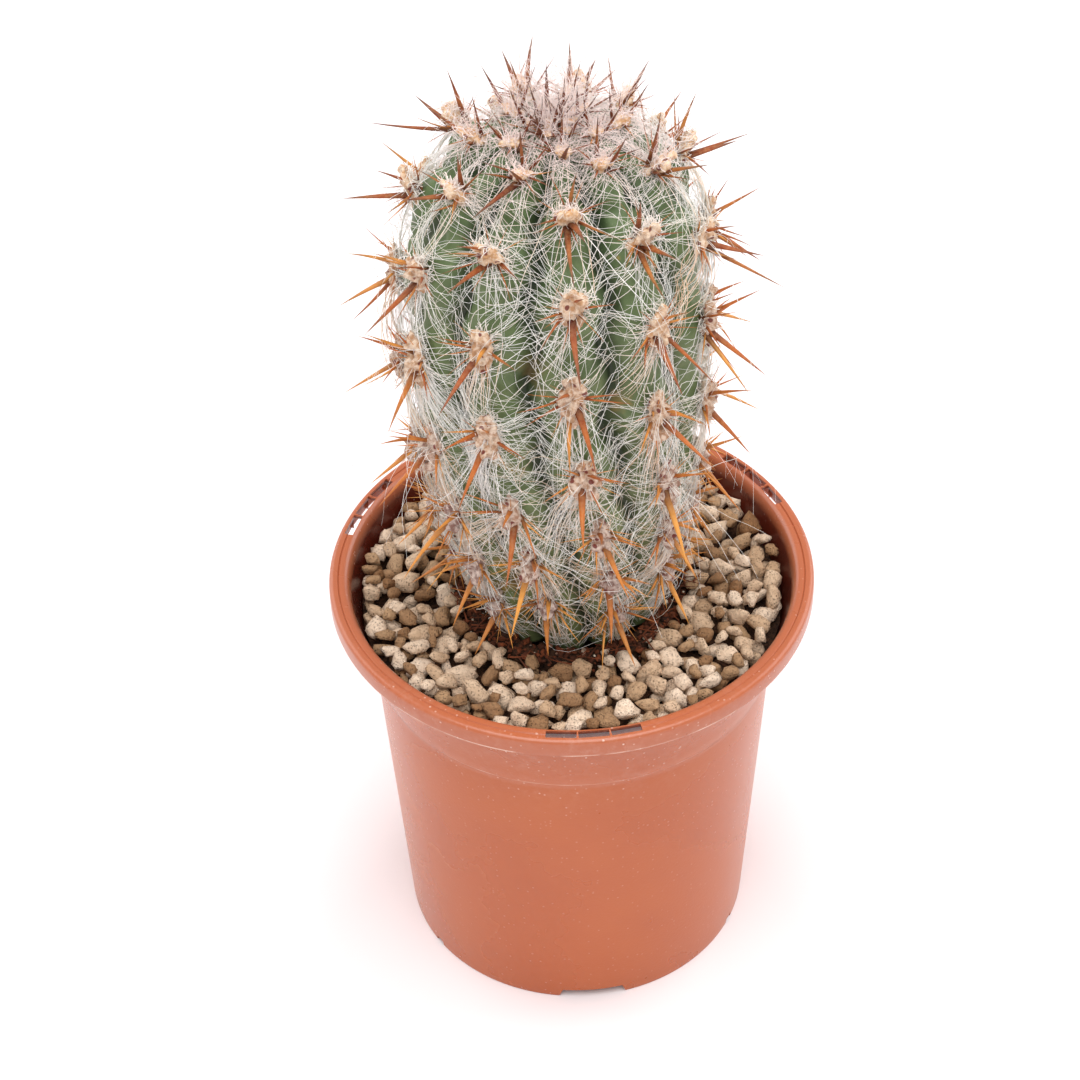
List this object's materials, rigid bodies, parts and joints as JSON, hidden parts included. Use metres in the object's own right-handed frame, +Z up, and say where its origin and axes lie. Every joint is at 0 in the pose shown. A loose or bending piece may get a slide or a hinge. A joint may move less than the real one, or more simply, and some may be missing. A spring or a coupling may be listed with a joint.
{
  "type": "potted old man of the andes",
  "caption": "Ribbed columnar cactus with woolly areoles, stout spines and long white hair, in a round plastic nursery pot topped with pumice.",
  "frame": {"origin": "centre of the pot's foot, on the surface that the pot stands on", "axes": "+Z up the pot and the stem; -Y towards the front; +X to the right seen from the front"},
  "size_m": [0.17, 0.17, 0.3589],
  "materials": {
    "pot_plastic": "satin terracotta-coloured plastic, dusted and lightly scuffed",
    "growing_mix": "dark fibrous growing mix with dry litter",
    "pumice": "rough pitted pumice, cream to tan",
    "cactus": "matt grey-green skin with cream felt, amber to red-brown spines and white hair"
  },
  "bodies": {
    "root": {"pot": "pot_plastic", "substrate": "growing_mix", "gravel": "pumice", "cactus": "cactus"}
  },
  "joints": []
}
